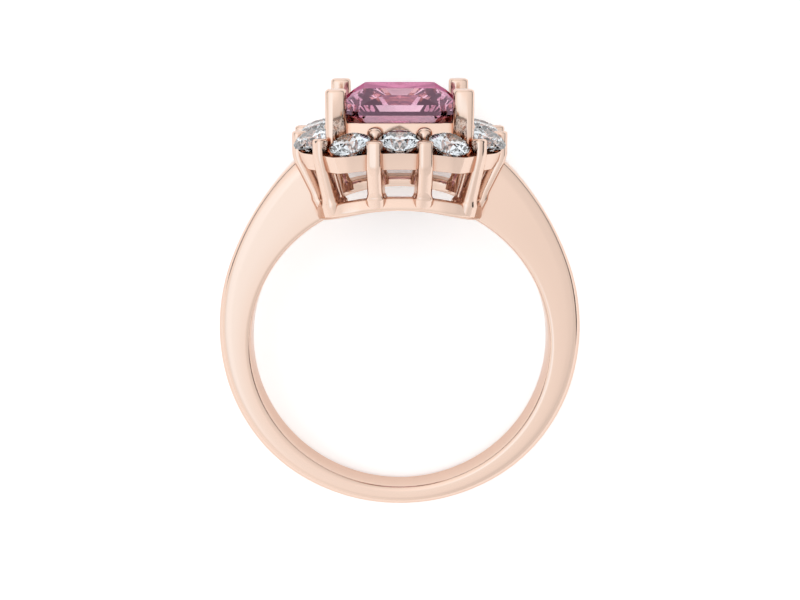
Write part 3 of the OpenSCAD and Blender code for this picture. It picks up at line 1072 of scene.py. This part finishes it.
# Height on the dome, from table to zenith, and its brightness there.
DOME = [
    (0, 1.1),
    (0.3, 1.1),
    (0.55, 1.03),
    (0.66, 1.14),
    (0.8, 1.18),
    (0.89, 1.2),
    (0.95, 1.27),
    (1, 1.3),
]

# How far to each side the dome grows brighter or dimmer, and by what share.
SIDE_REACH = 0.25
SIDE_SHARE = 0.11

# Each patch of the dome is a direction, and the cosines off it at which the patch starts
# and is full. The dark cards end at the height of the last one.
RIGHT_CARD = (0.87, 0.5, 0)
RIGHT_CARD_EDGE = (0.6, 0.68)
LEFT_CARD = (-0.87, 0.5, 0)
LEFT_CARD_EDGE = (0.8, 0.88)
DAYLIGHT = (-0.45, -0.35, 0.82)
DAYLIGHT_EDGE = (0.86, 0.97)
DOWN = (0, 0, -1)
CARD_TOP_EDGE = (-0.28, -0.2)

# What the open dome keeps of its brightness. A card takes 1 away from it.
OPEN_DOME = 1.02

# What the daylight adds to the dome's white, in linear red, green and blue.
WHITE = (1, 1, 1)
DAYLIGHT_BLUE = (0, 0.12, 0.2)

world = bpy.data.worlds.new("studio_dome")
bpy.context.scene.world = world
world.use_nodes = True
sky_tree = world.node_tree
sky_tree.nodes.clear()
way = add(sky_tree, "ShaderNodeTexCoord").outputs["Generated"]
sky = add(sky_tree, "ShaderNodeSeparateXYZ", {0: way})
dome_light = add(sky_tree, "ShaderNodeValToRGB", {"Fac": sky.outputs["Z"]})
ramp = dome_light.color_ramp.elements
while len(ramp) < len(DOME):
    ramp.new(0.5)
for element, (height, brightness) in zip(ramp, DOME):
    element.position = height
    element.color = (brightness, brightness, brightness, 1)


def patch(direction, edge):
    """How far a direction on the dome lies inside a soft-edged patch, from 0 to 1."""
    towards = add(sky_tree, "ShaderNodeVectorMath", {0: way, 1: direction}, operation="DOT_PRODUCT")
    return add(
        sky_tree,
        "ShaderNodeMapRange",
        {0: towards.outputs["Value"]},
        interpolation_type="SMOOTHSTEP",
        From_Min=edge[0],
        From_Max=edge[1],
    )


right_card = patch(RIGHT_CARD, RIGHT_CARD_EDGE)
left_card = patch(LEFT_CARD, LEFT_CARD_EDGE)
both = add(sky_tree, "ShaderNodeMath", {0: right_card, 1: left_card}, operation="ADD")
low_down = patch(DOWN, CARD_TOP_EDGE)
cards = add(sky_tree, "ShaderNodeMath", {0: both, 1: low_down}, operation="MULTIPLY")
left_over = add(sky_tree, "ShaderNodeMath", {0: OPEN_DOME, 1: cards}, operation="SUBTRACT")
sides = add(
    sky_tree,
    "ShaderNodeMapRange",
    {"Value": sky.outputs["X"]},
    From_Min=-SIDE_REACH,
    From_Max=SIDE_REACH,
    To_Min=1 + SIDE_SHARE,
    To_Max=1 - SIDE_SHARE,
)
even = add(sky_tree, "ShaderNodeMath", {0: dome_light, 1: sides}, operation="MULTIPLY")
lit = add(sky_tree, "ShaderNodeMath", {0: even, 1: left_over}, operation="MULTIPLY")
daylight = add(
    sky_tree,
    "ShaderNodeVectorMath",
    {0: patch(DAYLIGHT, DAYLIGHT_EDGE), 1: DAYLIGHT_BLUE, 2: WHITE},
    operation="MULTIPLY_ADD",
)
coloured = add(sky_tree, "ShaderNodeVectorMath", {0: daylight, "Scale": lit}, operation="SCALE")
glow = add(sky_tree, "ShaderNodeBackground", {"Color": coloured}, Strength=1.0)
add(sky_tree, "ShaderNodeOutputWorld", {"Surface": glow})

# The camera
# It looks at the lying ring from the angle that the photograph shows it at, along the
# finger hole and a little from the head's side, and keeps above the table.
CAMERA_BACK = 77.587
CAMERA_UP = 21.616
LOOK_DOWN = math.radians(13.82)

# Focal length and the middle of the picture, in pixels of a picture this wide.
FOCAL_PX = 1396
IMAGE_W_PX = 800
CENTRE_PX = 399.7

camera_data = bpy.data.cameras.new("camera")
camera_data.sensor_width = 36
camera_data.lens = FOCAL_PX / IMAGE_W_PX * camera_data.sensor_width
camera_data.shift_x = (IMAGE_W_PX / 2 - CENTRE_PX) / IMAGE_W_PX
camera_data.clip_start = 0.005
camera_data.clip_end = 10
camera = bpy.data.objects.new("camera", camera_data)
bpy.context.scene.collection.objects.link(camera)
tripod = Matrix.Translation((0, -CAMERA_BACK, CAMERA_UP))
aimed = LYING @ tripod @ Matrix.Rotation(math.pi / 2 - LOOK_DOWN, 4, "X")
unscaled = aimed.to_quaternion().to_matrix().to_4x4()
camera.matrix_world = Matrix.Translation(aimed.translation) @ unscaled
bpy.context.scene.camera = camera
bpy.context.scene.view_settings.view_transform = "Standard"
